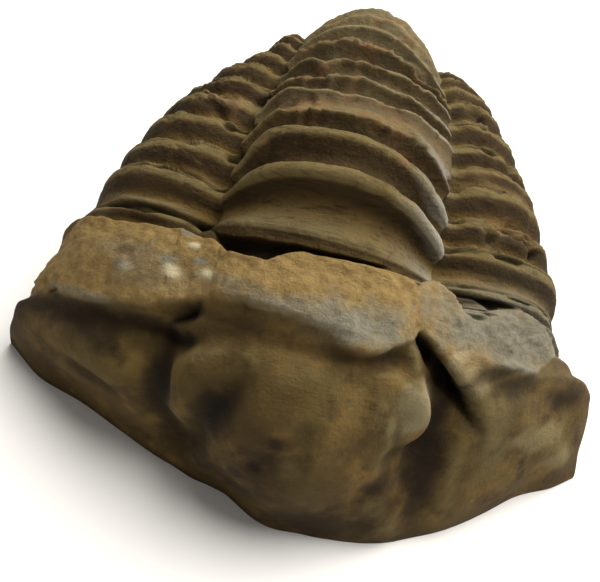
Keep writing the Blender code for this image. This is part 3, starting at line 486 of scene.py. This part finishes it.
def lineRelief(lines, step, x, ring):
    # height given by the furrows and ridges near a place, and how far it lies in a furrow or on a ridge
    height, inFurrow, onRidge = 0.0, 0.0, 0.0
    for points, (left, right, front, rear) in lines:
        if not (left < x < right and front < ring < rear):
            continue
        near = 1e9
        for a, b in zip(points, points[1:]):
            bx, by = b[0] - a[0], (b[1] - a[1]) * step
            px, py = x - a[0], (ring - a[1]) * step
            s = min(max((px * bx + py * by) / (bx * bx + by * by), 0.0), 1.0)
            distance = math.hypot(px - s * bx, py - s * by)
            if distance < near:
                near, halfWidth, depth = distance, mix(a[2], b[2], s), mix(a[3], b[3], s)
        fall = math.exp(-(near / halfWidth) ** 2)
        height -= depth * fall
        if depth > 0.0:
            inFurrow = max(inFurrow, smoothstep(0.2, 2.0, depth) * fall)
        else:
            onRidge = max(onRidge, smoothstep(0.1, 0.45, -depth) * fall)
    return height, inFurrow, onRidge


def inPatches(name, x, ring, wobble):
    most = 0.0
    for px, pr, rx, rr, strength in patches[name]:
        reach = math.hypot((x - px) / rx, (ring - pr) / rr)
        if reach < 2.0:
            most = max(most, strength * smoothstep(1.5, 0.4, reach + 0.5 * wobble))
    return most


def rough(point, size, seed, detail=3):
    # rock noise with lumps of the given size in mm
    return noise.fractal(point / size + Vector((seed, 0.0, 0.0)), 1.0, 2.0, detail)


axisAcrossPlaces, ribAcrossPlaces = (-1.0, -0.5, 0.0, 0.5, 1.0), (0.44, 0.6, 0.9)
axisCrests = [list(zip(axisAcrossPlaces, row[:5])) for row in back["crests"]]
ribCrests = [[list(zip(ribAcrossPlaces, row[i:i + 3])) for i in (0, 3)] for row in back["ribs"]]


def axisCrest(index, across):
    u = across / body["axisAcross"]
    return sum(along(axisCrests[index], u + shift) for shift in (-0.15, 0.0, 0.15)) / 3.0


def ribCrest(index, across):
    return along(ribCrests[index][0 if across < 0 else 1], abs(across))


def axisPlace(x, ring, across):
    # the crest in front of a place on the axis, and how far the place lies towards the next one
    ahead = None
    for index in range(max(int(ring) - 2, 0), len(axisCrests)):
        chips = back["crests"][index][6] * smoothstep(0.7, 0.3, abs(across) / body["axisAcross"])
        edge = axisCrest(index, across)
        edge += chips * noise.noise(Vector((x * 0.9, index * 7.3, 1.0)))
        edge += 0.5 * chips * noise.noise(Vector((x * 2.6, index * 3.1, 5.0)))
        for notchCrest, notchX, halfWidth, shift in back["notches"]:
            if notchCrest == index:
                edge -= shift * math.exp(-((x - notchX) / halfWidth) ** 2)
        if ring < edge:
            break
        ahead = edge
    if ahead is None:
        return 0, ring
    return index, min(max((ring - ahead) / max(edge - ahead, 0.05), 0.0), 1.0)


def ribPlace(x, ring, across):
    # the same on the ribs
    ahead = ribCrest(0, across)
    if ring < ahead:
        return 0, 1.0 + ring - ahead
    for index in range(max(int(ring) - 2, 1), len(ribCrests)):
        edge = ribCrest(index, across) + 0.04 * noise.noise(Vector((x * 0.4, index * 5.3, 3.0)))
        if ring < edge:
            break
        ahead = edge
    return index, min(max((ring - ahead) / max(edge - ahead, 0.05), 0.0), 1.0)


def axisTones(number, f, low, ring, across):
    # how far a place on the axis takes the tan of a crest, paler where the edge is rubbed and painted light
    # on the foot behind it and on the last rings, and how far it takes painted shade on its face towards the
    # front
    if number == 0:
        return smoothstep(0.7, 1.0, ring), 0.5 * smoothstep(1.0, 0.75, ring)
    front = number < 3
    start = low - (0.12 * smoothstep(0.1, 0.35, across) if front else 0.0)
    # painted light on the foot behind the edge, which faces the lamp
    foot = (0.85 if front else 1.0) * smoothstep(0.45, 0.10, f)
    # painted light all over the last rings
    allOver = 0.9 * smoothstep(7.5, 10.0, ring)
    crest = max(smoothstep(start, start + 0.05, f), foot, smoothstep(0.14, 0.04, f), allOver)
    # painted shade on the steep face in front of the next crest, fading on the rear rings
    face = smoothstep(low - 0.45, low - 0.12, f) * smoothstep(low + 0.03, low - 0.01, f)
    face *= mix(1.0, 0.6, smoothstep(3.0, 4.5, ring)) * mix(1.0, 0.4, smoothstep(7.0, 9.0, ring))
    return crest, face


def ribTones(f, ring, left):
    # the same on a rib: the tan of its crest and lip, partly painted light, and painted shade on its face
    # towards the front
    crest = max(smoothstep(0.74, 0.86, f), smoothstep(0.21, 0.17, f))
    face = 1.12 * smoothstep(0.40, 0.52, f) * smoothstep(0.84, 0.70, f)
    return crest, face * (1.0 - 0.25 * left * smoothstep(2.6, 2.0, ring))


def troughTone(rib, f, number, fAxis, t, left, onAxis):
    # how far a place lies in the ochre bottom of a groove
    beside = 1.0 - onAxis
    trough = smoothstep(0.17, 0.23, f) * smoothstep(0.58, 0.46, f) * beside
    trough *= mix(0.45, 1.0, smoothstep(0.9, 0.6, t))
    if rib == back["openRib"] and not left:
        trough = max(trough, smoothstep(0.1, 0.2, f) * beside)
    if number == 1:
        trough = max(trough, smoothstep(0.0, 0.15, fAxis) * smoothstep(0.62, 0.35, fAxis) * onAxis)
    return trough


def raggedEdge(number, fAxis, onAxis):
    if number == back["ragged"]:
        return smoothstep(0.90, 0.94, fAxis) * onAxis
    if number == back["ragged"] + 1:
        return smoothstep(0.25, 0.1, fAxis) * onAxis
    return 0.0


def leftShoulder(t, ring):
    # the left side of the axis swells above and is hollow below
    swell = back["shoulder"] * math.exp(-((t - 0.19) / 0.07) ** 2)
    hollow = back["hollowFlank"] * math.exp(-((t - 0.34) / 0.06) ** 2)
    return (swell - hollow) * smoothstep(1.5, 2.0, ring) * smoothstep(8.0, 6.0, ring)


def furrowRelief(x, t, rib, f, left):
    # the furrow beside the axis with a pit at each crest, and the thin slit behind the crest of a rib, and
    # how far shade is painted into the slit and the pit
    axisAcross = body["axisAcross"]
    behindCrest = f - back["slitPlace"]
    inFurrow = math.exp(-((t - axisAcross - 0.005) / back["furrowWidth"]) ** 2)
    deep = smoothstep(-0.35, 0.15, noise.noise(Vector((rib * 2.3, 5.0 - 4.0 * left, 0.5))))
    pit = (math.exp(-((t - axisAcross - 0.012) / back["pitWidth"]) ** 2)
           * math.exp(-(behindCrest / back["pitLength"]) ** 2) * deep)
    onRib = smoothstep(axisAcross + 0.02, axisAcross + 0.06, t) * smoothstep(0.97, 0.80, t)
    wide = smoothstep(-0.25, 0.35, noise.noise(Vector((x * 0.25, rib * 5.1, 9.0))))
    slit = math.exp(-(behindCrest / back["slitWidth"]) ** 2) * mix(0.35, 1.0, wide) * onRib
    height = -back["furrowDepth"] * inFurrow - back["pitDepth"] * pit - back["slitDepth"] * slit
    return height, inFurrow, max(0.8 * slit, pit)


def scaledPlaces(t, ring, point):
    # thin scales have come off here and there, but not on the sides of the axis
    longer = Vector((point.x * 0.6, point.y, point.z))
    scaled = smoothstep(0.22, 0.34, rough(longer, 1.5, 81.0)) * smoothstep(1.5, 3.0, ring)
    return scaled * (1.0 - smoothstep(0.22, 0.32, t) * smoothstep(0.55, 0.45, t))


def flakedPlaces(x, ring, point):
    height, flaked = 0.0, 0.0
    for flakeX, flakeRing, radiusX, radiusRing, depth in back["flakes"]:
        reach = math.hypot((x - flakeX) / radiusX, (ring - flakeRing) / radiusRing)
        reach += 0.5 * rough(point, 1.2, 51.0)
        if reach < 1.3:
            inFlake = smoothstep(1.1, 0.85, reach)
            height -= depth * inFlake * (1.0 + 0.5 * rough(point, 0.9, 52.0))
            flaked = max(flaked, inFlake)
    return height, flaked


def thoraxRelief(x, ring, across, point):
    t = abs(across)
    left = 1.0 if across < 0 else 0.0
    axisAcross = body["axisAcross"]
    onAxis = smoothstep(axisAcross + 0.015, axisAcross - 0.03, t)
    # grooves between the ribs and between the rings of the axis
    rib, f = ribPlace(x, ring, across)
    ribDepth = along(back["grooves"], ring, 1) * mix(0.55, 1.0, smoothstep(0.95, 0.7, t))
    ribDepth *= back["ribs"][rib][6 if left else 7]
    number, fAxis = axisPlace(x, ring, across)
    profile, low = back["faces"].get(number, back["thinFace"])
    axisDepth = back["crests"][number][5] * mix(0.25, 1.0, smoothstep(axisAcross, axisAcross - 0.18, t))
    peeledCrest, peeledFrom, depthLeft = back["peeled"]
    if number == peeledCrest:
        axisDepth *= mix(1.0, depthLeft, smoothstep(*peeledFrom, x))
    height = -mix(ribDepth * along(ribGroove, f), axisDepth * along(profile, fAxis), onAxis)
    if number == 0 and onAxis > 0.5:
        # the first ring is a low rounded plate
        height += back["plate"] * smoothstep(0.0, 0.5, ring) * smoothstep(1.0, 0.8, ring)
    if left:
        height += leftShoulder(t, ring)
    crest, face = axisTones(number, fAxis, low, ring, across) if onAxis > 0.5 else ribTones(f, ring, left)
    # broken edges and marks
    ragged = raggedEdge(number, fAxis, onAxis)
    trough = max(troughTone(rib, f, number, fAxis, t, left, onAxis), 0.7 * ragged)
    crest *= 1.0 - ragged
    if ragged > 0.0:
        height += 0.3 * ragged * rough(point, 0.5, 71.0)
    furrowHeight, inFurrow, crack = furrowRelief(x, t, rib, f, left)
    scaled = scaledPlaces(t, ring, point)
    flakeHeight, flaked = flakedPlaces(x, ring, point)
    lineHeight, inLine, onRidge = lineRelief(thoraxLines, back["step"], x, ring)
    height += furrowHeight - back["scale"] * scaled + flakeHeight + lineHeight
    sharp = mix(0.4, 1.0, smoothstep(3.0, 6.0, ring)) * mix(1.0, 0.4, onAxis * smoothstep(0.2, 0.35, t))
    for i, (grainHeight, size) in enumerate(back["grain"]):
        height += sharp * grainHeight * rough(point, size, 61.0 + i)
    # painted grey sheen on the right side of the axis; painted light on the rings from the fourth back, more
    # on the last ones, and on the right crests of the front rings
    slate = smoothstep(0.1, 0.35, across) * onAxis * smoothstep(9.5, 6.0, ring)
    slate *= mix(0.45, 1.0, smoothstep(1.3, 1.9, ring)) * mix(1.0, 0.7, smoothstep(2.2, 3.0, ring))
    lit = onAxis * (0.08 * smoothstep(3.5, 4.5, ring) + 0.06 * smoothstep(7.0, 9.0, ring))
    lit = max(lit, 0.28 * slate * crest * smoothstep(3.3, 2.5, ring))
    broken = max(inPatches("chip", x, ring, 0.0), 0.5 * flaked, mix(0.25, 0.6, onAxis) * scaled)
    # painted light on the lips and lit rings, painted shade on the faces towards the front, and near black
    # painted shade in the slits, pits and furrows
    return height, {
        "crest": max(crest, 0.8 * onRidge), "trough": trough, "crack": max(crack, min(1.6 * inLine, 1.0)),
        "rock": 0.0, "pale": inPatches("pale", x, ring, 0.0), "olive": 0.35 * inFurrow, "paintedShadeAndStain": 0.62 * face,
        "bright": max(0.12 * onRidge, lit), "chip": broken, "slate": slate, "head": 0.0, "cut": 0.0}


def headRelief(x, ring, across, point):
    wobble = rough(point, 1.6, 7.0)
    edge = along(head["browEdge"], x) + 0.06 * wobble
    # the edge of the rock is soft beside the gash
    soft = mix(1.0, 4.0, smoothstep(10.0, 12.0, x) * smoothstep(16.5, 15.0, x))
    rock = smoothstep(edge - 0.10 * soft, edge + 0.08 * soft, ring)
    fill = head["furrowFill"] * math.exp(-((abs(across) - body["axisAcross"]) / 0.05) ** 2)
    height = (along(head["browHeight"], x) + fill) * rock
    for lobeX, lobeRing, radiusX, radiusRing, lobeHeight in head["lobes"]:
        reach = ((x - lobeX) / radiusX) ** 2 + ((ring - lobeRing) / radiusRing) ** 2
        if reach < 6.0:
            height += lobeHeight * math.exp(-reach) * (1.0 - rock)
    size, sideways, endways = head["bend"]
    bentX = x + sideways * rough(point, size, 91.0, 2)
    bentRing = ring + endways * rough(point, size, 92.0, 2)
    lineHeight, inLine, onRidge = lineRelief(headLines, head["step"], bentX, bentRing)
    cut, inCut, onCut = lineRelief(gashLines, head["step"], x, ring)
    inLine, onRidge = max(inLine, inCut), max(onRidge, onCut)
    (coarse, coarseSize), (fine, fineSize) = head["rockGrain"]
    shell, shellSize = head["shellGrain"]
    height += rock * (coarse * rough(point, coarseSize, 2.0) + fine * rough(point, fineSize, 4.0))
    height += lineHeight + (1.0 - rock) * shell * rough(point, shellSize, 6.0)
    found = {name: inPatches(name, x, ring, wobble) for name in patches}
    # the pale crust thins out beside the gash, and hardly reaches below the rock
    besideGash = smoothstep(16.0, 14.0, x) * smoothstep(7.0, 9.0, x)
    found["pale"] *= mix(0.15, 1.0, rock) * mix(1.0, smoothstep(-2.4, -1.3, ring), besideGash)
    # painted highlights on the ridges and on the lit places of the head
    crest = max(0.9 * onRidge ** 2, found.pop("worn"))
    # painted shade in the furrows of the head
    found.update(crest=crest, trough=0.0, crack=inLine, rock=rock, slate=0.0, head=1.0 - rock, cut=cut)
    return height, found


def relief(x, ring, across, point):
    edge = along(back["neckEdge"], x) + 0.07 * rough(point, 1.3, 17.0)
    over = smoothstep(edge - 0.10, edge + 0.06, ring)
    if over == 0.0:
        return headRelief(x, ring, across, point)
    height, found = thoraxRelief(x, ring, across, point)
    # open gap under the front edge of the first ring, with painted shade in it
    lip = along(back["slotLip"], x) + 0.03 * noise.noise(Vector((x, 0.0, 8.0)))
    leftEnd, rightEnd = back["slotEnds"]
    gap = over * smoothstep(lip + 0.04, lip - 0.04, ring)
    gap *= smoothstep(*leftEnd, x) * smoothstep(*rightEnd, x)
    height -= back["slotDepth"] * gap
    found["crack"] = max(found["crack"], 0.75 * gap)
    if over < 1.0:
        headHeight, headFound = headRelief(x, ring, across, point)
        height = mix(headHeight, height, over)
        found = {name: mix(headFound[name], found[name], over) for name in found}
    return height, found


def rowPlaces():
    # head and neck by ring, then on by crest: 3.5 is halfway from the third crest to the fourth
    rim = body["headRim"]
    rows = [rim - 1.0]
    neck = body["neckFront"]
    rows += [mix(rim, neck, i / body["headRows"]) for i in range(body["headRows"])]
    rows += [mix(neck, 1.0, i / body["neckRows"]) for i in range(body["neckRows"])]
    crest = 1
    for lastCrest, steps in body["crestRows"]:
        while crest < lastCrest:
            rows += [crest + along(body["rowPlaces"], i / steps) for i in range(steps)]
            crest += 1
    return rows + [crest, crest + 1.0]


def ringAt(row, across):
    # rows of points follow the crests, those of the axis on it and those of the ribs beside it
    last = len(back["ribs"])
    if row <= 1.0:
        return row
    if row > last:
        return body["tailTip"] + row - last
    index = min(int(row), last - 1)
    share = row - index
    beside = smoothstep(1.02, 1.4, abs(across) / body["axisAcross"])
    onAxis = mix(axisCrest(index - 1, across), axisCrest(index, across), share)
    onRibs = mix(ribCrest(index - 1, across), ribCrest(index, across), share)
    return mix(onAxis, onRibs, beside)


def columnPlaces():
    wall = [1.0 + body["wallAcross"] * (1.0 - i / body["wallColumns"]) for i in range(body["wallColumns"])]
    top = [mix(-1.0, 1.0, i / body["topColumns"]) for i in range(body["topColumns"] + 1)]
    return [-c for c in wall] + top + wall[::-1]


masks = ("crest", "trough", "crack", "rock", "pale", "olive", "paintedShadeAndStain", "bright", "chip", "slate", "head")
thoraxLines = boxed(backLines(), back["step"])
headLines, gashLines = boxed(head["lines"], head["step"]), boxed(head["gash"], head["step"])


def makeSkin():
    rows, columns = rowPlaces(), columnPlaces()
    lastRow, lastColumn = len(rows) - 1, len(columns) - 1
    bm = bmesh.new()
    bmesh.ops.create_grid(bm, x_segments=lastColumn, y_segments=lastRow, size=0.5)
    layers = {name: bm.verts.layers.float.new(name) for name in masks}
    places = []
    for vert in bm.verts:
        row, column = round((vert.co.y + 0.5) * lastRow), round((vert.co.x + 0.5) * lastColumn)
        across = columns[column]
        ring = ringAt(rows[row], across)
        values, pitch = section(min(max(ring, body["headRim"]), body["tailTip"]))
        vert.co = smoothForm(ring, across, values, pitch)
        soft = mix(*body["softFurrow"], smoothstep(-3.2, -2.0, ring)) * smoothstep(1.0, 0.3, ring)
        if soft > 0.0 and abs(abs(across) - body["axisAcross"]) < 0.3:
            beside = [smoothForm(ring, across + i * soft, values, pitch) for i in (-2, -1, 1, 2)]
            weight = smoothstep(0.3, 0.15, abs(abs(across) - body["axisAcross"]))
            vert.co = vert.co.lerp((2.0 * vert.co + sum(beside, Vector())) / 6.0, weight)
        places.append((vert, ring, across))
    bm.normal_update()
    print("skin placed:", len(bm.verts), "points")
    floor = body["firstRing"][2]
    lumpHeight, lumpSize = body["lumps"]
    moves, cuts = [], []
    for vert, ring, across in places:
        point = vert.co.copy()
        height, found = relief(point.x, ring, across, point)
        height += lumpHeight * rough(point, lumpSize, 31.0, 2)
        fade = smoothstep(0.0, body["reliefFade"], point.z + floor)
        moves.append((vert, vert.normal * (height * fade)))
        if found["cut"] != 0.0:
            cuts.append((vert, found["cut"]))
        for name in masks:
            vert[layers[name]] = found[name]
    for vert, move in moves:
        vert.co += move
    # the head is worn smooth, the rock on its neck is not
    worn = [vert for vert, ring, across in places
            if ring < head["wornTo"] and vert[layers["rock"]] < 0.5]
    for i in range(head["wear"]):
        bmesh.ops.smooth_vert(bm, verts=worn, factor=0.5, use_axis_x=True, use_axis_y=True, use_axis_z=True)
    bm.normal_update()
    # the gash is cut last, so that it stays sharp
    cutMoves = [(vert, vert.normal * cut) for vert, cut in cuts]
    for vert, move in cutMoves:
        vert.co += move
    closeUnderside(bm)
    bmesh.ops.translate(bm, verts=bm.verts, vec=Vector(body["firstRing"]))
    bmesh.ops.scale(bm, verts=bm.verts, vec=(mm, mm, mm))
    bmesh.ops.recalc_face_normals(bm, faces=bm.faces)
    mesh = bpy.data.meshes.new("trilobiteSkin")
    bm.to_mesh(mesh)
    bm.free()
    mesh.shade_smooth()
    skin = bpy.data.objects.new("trilobiteSkin", mesh)
    bpy.context.scene.collection.objects.link(skin)
    return skin


# The underside is nearly flat: loops of edges inside its rim, its middle, the height of its hollow.
underside = {"rings": 3, "centre": (0.0, 6.0), "hollow": 1.2}


def closeUnderside(bm):
    floor = body["firstRing"][2]
    rim = [edge for edge in bm.edges if edge.is_boundary]
    for vert in {vert for edge in rim for vert in edge.verts}:
        vert.co.z = -floor
    centre = Vector((*underside["centre"], -floor))
    for step in range(1, underside["rings"] + 1):
        grown = bmesh.ops.extrude_edge_only(bm, edges=rim)["geom"]
        newVerts = [item for item in grown if isinstance(item, bmesh.types.BMVert)]
        rim = [item for item in grown if isinstance(item, bmesh.types.BMEdge) and item.is_boundary]
        share = 1.0 - step / (underside["rings"] + 1.0)
        before = 1.0 - (step - 1) / (underside["rings"] + 1.0)
        for vert in newVerts:
            flat = centre + (vert.co - centre) * (share / before)
            lift = underside["hollow"] * smoothstep(1.0, 0.6, share) * (1.0 + rough(flat, 4.0, 41.0)) * 0.5
            vert.co = Vector((flat.x, flat.y, -floor + max(lift, 0.0)))
    bmesh.ops.contextual_create(bm, geom=rim)


def hexColour(text):
    channels = [int(text[i:i + 2], 16) / 255.0 for i in (1, 3, 5)]
    return [c / 12.92 if c <= 0.04045 else ((c + 0.055) / 1.055) ** 2.4 for c in channels] + [1.0]


def addNode(tree, kind, settings=None, links=None):
    node = tree.nodes.new(kind)
    for name, value in (settings or {}).items():
        if isinstance(name, str) and hasattr(node, name):
            setattr(node, name, value)
        else:
            node.inputs[name].default_value = value
    for name, socket in (links or {}).items():
        tree.links.new(socket, node.inputs[name])
    return node


def newMaterial(name):
    material = bpy.data.materials.new(name)
    material.use_nodes = True
    tree = material.node_tree
    return material, tree, tree.nodes["Principled BSDF"]


stone = {
    # the grey is a painted sheen; black and dark also paint shade, cream and tan also paint light
    "brown": "#48371b", "brownPale": "#5c4b29", "dark": "#22160a", "tan": "#6c5e3a", "slate": "#888780",
    "olive": "#64532a", "ochre": "#7c6132", "cream": "#c4b894", "rock": "#927a4c", "rockDark": "#7c643a",
    "pale": "#827c6c", "paleDark": "#6e6854", "chip": "#7c5c3c", "black": "#0d0906",
    "roughness": (0.68, 0.95), "ior": 1.5, "specular": 0.15,
}


def limestoneMaterial():
    # Weathered brown limestone: matt, mottled from brown to ochre, paler where the crests are rubbed, with
    # painted light and painted shade laid into its colour.
    material, tree, shader = newMaterial("weatheredLimestone")
    place = addNode(tree, "ShaderNodeTexCoord").outputs["Object"]
    mask = {}
    for name in masks:
        mask[name] = addNode(tree, "ShaderNodeAttribute", {"attribute_name": name}).outputs["Fac"]

    def speckle(size, detail=4.0, roughness=0.6):
        # size is that of one lump in mm
        return addNode(tree, "ShaderNodeTexNoise", {"Scale": 1.0 / (size * mm), "Detail": detail,
                                                    "Roughness": roughness}, {"Vector": place}).outputs["Fac"]

    def streak(length, size):
        # worn lines that run across the body
        scale = [1.0 / (d * mm) for d in (length, size, size)]
        stretched = addNode(tree, "ShaderNodeMapping", {"Scale": scale}, {"Vector": place}).outputs["Vector"]
        return addNode(tree, "ShaderNodeTexNoise", {"Scale": 1.0, "Detail": 4.0, "Roughness": 0.65},
                       {"Vector": stretched}).outputs["Fac"]

    def ranged(value, low, high):
        node = addNode(tree, "ShaderNodeMapRange", {"From Min": low, "From Max": high}, {"Value": value})
        return node.outputs["Result"]

    def reckon(operation, a, b):
        return addNode(tree, "ShaderNodeMath", {"operation": operation}, {0: a, 1: b}).outputs[0]

    def blend(share, a, b):
        node = addNode(tree, "ShaderNodeMix", {"data_type": "RGBA"}, {0: share})
        for socket, colour in ((6, a), (7, b)):
            if isinstance(colour, str):
                node.inputs[socket].default_value = hexColour(colour)
            else:
                tree.links.new(colour, node.inputs[socket])
        return node.outputs[2]

    def lay(colour, share, pattern, low, high, name):
        # a colour of the stone laid over the others, by its share and where its pattern is high
        return blend(reckon("MULTIPLY", share, ranged(pattern, low, high)), colour, stone[name])

    mottle = ranged(speckle(6.0), 0.35, 0.65)
    grit = ranged(speckle(0.7, 6.0), 0.35, 0.68)
    colour = blend(mottle, stone["brown"], stone["brownPale"])
    colour = lay(colour, mask["trough"], speckle(4.0), 0.3, 0.8, "ochre")
    # tan on the crests: rubbed paler, and painted light where they face the lamp
    colour = lay(colour, mask["crest"], speckle(3.0), 0.15, 0.55, "tan")
    # painted grey sheen on the crests on the right of the axis
    colour = blend(reckon("MULTIPLY", mask["crest"], mask["slate"]), colour, stone["slate"])
    colour = lay(colour, mask["olive"], speckle(2.5), 0.25, 0.6, "olive")
    notRock = addNode(tree, "ShaderNodeMath", {"operation": "SUBTRACT", 0: 1.0}, {1: mask["rock"]}).outputs[0]
    onBack = reckon("SUBTRACT", notRock, mask["head"])
    colour = lay(colour, onBack, streak(4.0, 0.5), 0.52, 0.78, "dark")
    colour = lay(colour, onBack, streak(2.5, 0.45), 0.55, 0.85, "ochre")
    colour = lay(colour, onBack, speckle(0.35, 2.0), 0.60, 0.85, "tan")
    # the head is blotched instead
    colour = lay(colour, mask["head"], speckle(3.6, 3.0), 0.50, 0.78, "ochre")
    colour = lay(colour, mask["head"], speckle(2.4, 4.0), 0.53, 0.85, "dark")
    colour = lay(colour, mask["head"], speckle(0.5, 3.0), 0.60, 0.95, "tan")
    colour = blend(mask["rock"], colour, blend(grit, stone["rockDark"], stone["rock"]))
    colour = blend(mask["pale"], colour, blend(grit, stone["paleDark"], stone["pale"]))
    # cream: painted highlights on lit ridges, lips and rings, and the cream spots on the rock
    colour = blend(mask["bright"], colour, stone["cream"])
    colour = lay(colour, mask["chip"], speckle(0.8), 0.3, 0.6, "chip")
    # painted shade on the faces in front of the crests and below the rock's edge, with the dark stains of the
    # head
    colour = blend(mask["paintedShadeAndStain"], colour, stone["dark"])
    # painted shade, near black, in the furrows, slits, pits and the open gap
    colour = blend(mask["crack"], colour, stone["black"])
    tree.links.new(colour, shader.inputs["Base Color"])
    smoothest, roughest = stone["roughness"]
    roughness = addNode(tree, "ShaderNodeMapRange", {"To Min": smoothest, "To Max": roughest},
                        {"Value": speckle(1.5)})
    tree.links.new(roughness.outputs["Result"], shader.inputs["Roughness"])
    shader.inputs["IOR"].default_value = stone["ior"]
    # a dusty broken surface throws back less than a smooth one
    shader.inputs["Specular IOR Level"].default_value = stone["specular"]
    # the finest grains of the stone are drawn coarser than life, or they wouldn't show
    lumps = addNode(tree, "ShaderNodeBump", {"Strength": 0.5, "Distance": 0.5 * mm}, {"Height": speckle(2.0)})
    lines = addNode(tree, "ShaderNodeBump", {"Strength": 0.5, "Distance": 0.2 * mm},
                    {"Height": streak(2.5, 0.45), "Normal": lumps.outputs["Normal"]})
    grain = addNode(tree, "ShaderNodeBump", {"Strength": 0.8, "Distance": 0.25 * mm},
                    {"Height": speckle(0.35, 8.0, 0.7), "Normal": lines.outputs["Normal"]})
    tree.links.new(grain.outputs["Normal"], shader.inputs["Normal"])
    return material


studio = {
    "floor": "#f0eeea", "floorSize": 1.2,
    "key": {"place": (0.20, 0.20, 0.52), "size": 0.7, "power": 8.4, "colour": (1.0, 0.98, 0.95)},
    "fill": {"place": (-0.25, -0.45, 0.35), "size": 0.5, "power": 0.2, "colour": (1.0, 0.95, 0.88)},
    "sky": "#ffffff", "skyStrength": 0.18,
}


def makeFloor():
    bm = bmesh.new()
    bmesh.ops.create_grid(bm, x_segments=1, y_segments=1, size=studio["floorSize"])
    mesh = bpy.data.meshes.new("studioFloor")
    bm.to_mesh(mesh)
    bm.free()
    floor = bpy.data.objects.new("studioFloor", mesh)
    bpy.context.scene.collection.objects.link(floor)
    # Matt card: even and bright, so that it only throws soft light back up.
    material, tree, shader = newMaterial("paleCard")
    shader.inputs["Base Color"].default_value = hexColour(studio["floor"])
    shader.inputs["Roughness"].default_value = 0.9
    mesh.materials.append(material)


def makeLight(name, settings):
    light = bpy.data.lights.new(name, "AREA")
    light.shape = "DISK"
    light.size = settings["size"]
    light.energy = settings["power"]
    light.color = settings["colour"]
    lamp = bpy.data.objects.new(name, light)
    lamp.location = settings["place"]
    lamp.rotation_euler = (Vector((0, 0, 0.01)) - lamp.location).to_track_quat("-Z", "Y").to_euler()
    bpy.context.scene.collection.objects.link(lamp)


def makeSky():
    world = bpy.data.worlds.new("softSky")
    world.use_nodes = True
    background = world.node_tree.nodes["Background"]
    background.inputs["Color"].default_value = hexColour(studio["sky"])
    background.inputs["Strength"].default_value = studio["skyStrength"]
    bpy.context.scene.world = world
    bpy.context.scene.view_settings.view_transform = "Standard"


# The camera is close, above the head, and tilted to its right.
view = {
    "fromFirstRing": (-2.5, -56.9, 59.0),
    "down": 48.2, "turn": 1.4, "roll": 15.0,   # degrees
    "lens": 60.0, "sensor": 36.0,
}


def makeCamera():
    down, turn, roll = (math.radians(view[name]) for name in ("down", "turn", "roll"))
    forward = Vector((math.sin(turn) * math.cos(down), math.cos(turn) * math.cos(down), -math.sin(down)))
    right = Vector((math.cos(turn), -math.sin(turn), 0.0))
    up = right.cross(forward)
    tiltedRight = right * math.cos(roll) + up * math.sin(roll)
    tiltedUp = up * math.cos(roll) - right * math.sin(roll)
    camera = bpy.data.cameras.new("camera")
    camera.lens = view["lens"]
    camera.sensor_width = view["sensor"]
    camera.clip_start = 0.005
    holder = bpy.data.objects.new("camera", camera)
    turned = Matrix((tiltedRight, tiltedUp, -forward)).transposed().to_4x4()
    place = (Vector(body["firstRing"]) + Vector(view["fromFirstRing"])) * mm
    holder.matrix_world = Matrix.Translation(place) @ turned
    bpy.context.scene.collection.objects.link(holder)
    bpy.context.scene.camera = holder


makeCamera()
skin = makeSkin()
skin.data.materials.append(limestoneMaterial())
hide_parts("trilobite_fossil")
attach(skin, "root")
print("skin:", len(skin.data.polygons), "faces")
makeFloor()
makeLight("keyLight", studio["key"])
makeLight("fillLight", studio["fill"])
makeSky()
print("studio ready")
